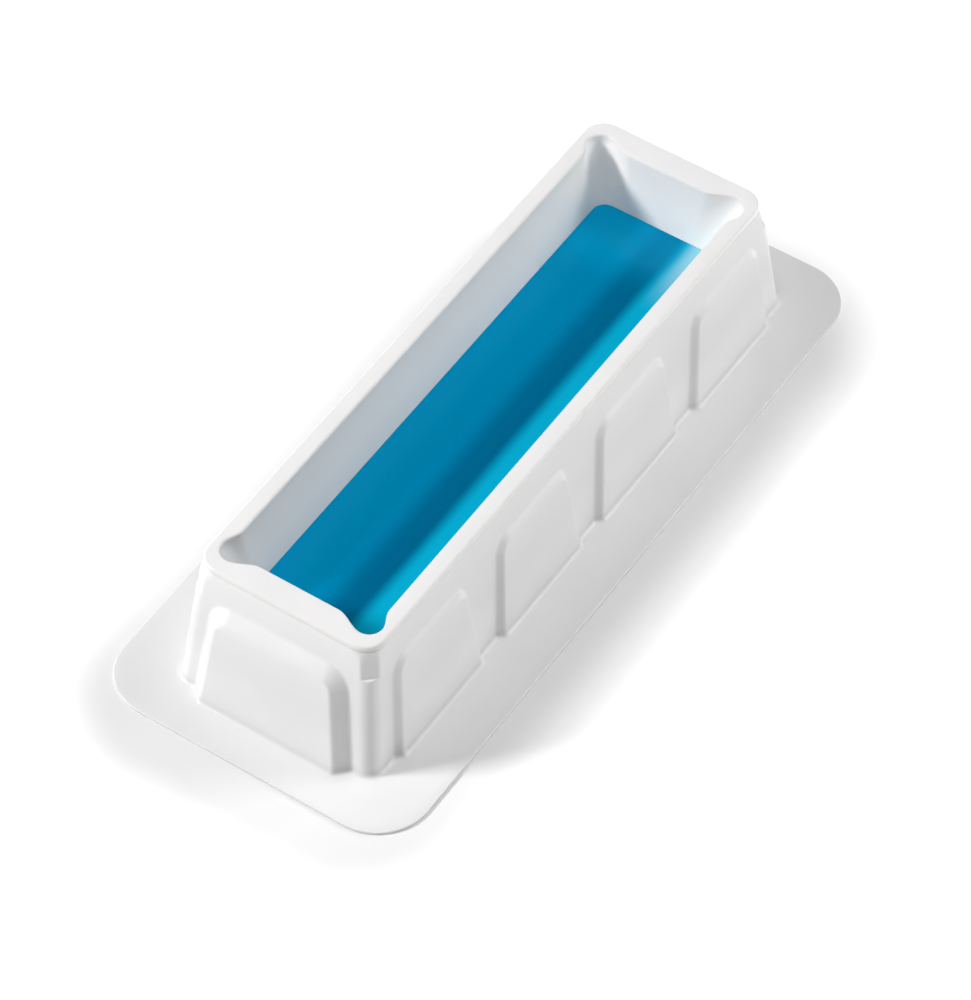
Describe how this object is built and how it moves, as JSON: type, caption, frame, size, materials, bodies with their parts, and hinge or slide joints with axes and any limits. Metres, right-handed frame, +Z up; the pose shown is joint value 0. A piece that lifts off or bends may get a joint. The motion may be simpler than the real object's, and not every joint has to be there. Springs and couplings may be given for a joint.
{
  "type": "soap mould",
  "caption": "Loaf soap mould: a white silicone liner with corner pockets hangs by its lip in a flanged, panelled white tray, part filled with a removable loaf of blue soap.",
  "frame": {"origin": "on the table under the centre of the tray, the bottom centre of the bounding box", "axes": "+X across the mould, +Y along the loaf, +Z up out of the cavity"},
  "size_m": [0.1246, 0.3, 0.0585],
  "materials": {
    "tray_white": "formed white plastic sheet, satin gloss",
    "liner_white": "smooth white silicone, soft gloss",
    "soap_blue": "glossy translucent blue soap"
  },
  "bodies": {
    "tray": {"carrier_tray": "tray_white"},
    "liner": {"silicone_liner": "liner_white"},
    "soap": {"soap_loaf": "soap_blue"}
  },
  "joints": [
    {"name": "liner_lift", "type": "slide", "parent": "tray", "child": "liner", "axis": [0, 0, 1], "range_m": [0, 0.07]},
    {"name": "soap_lift", "type": "slide", "parent": "liner", "child": "soap", "axis": [0, 0, 1], "range_m": [0, 0.065]}
  ]
}
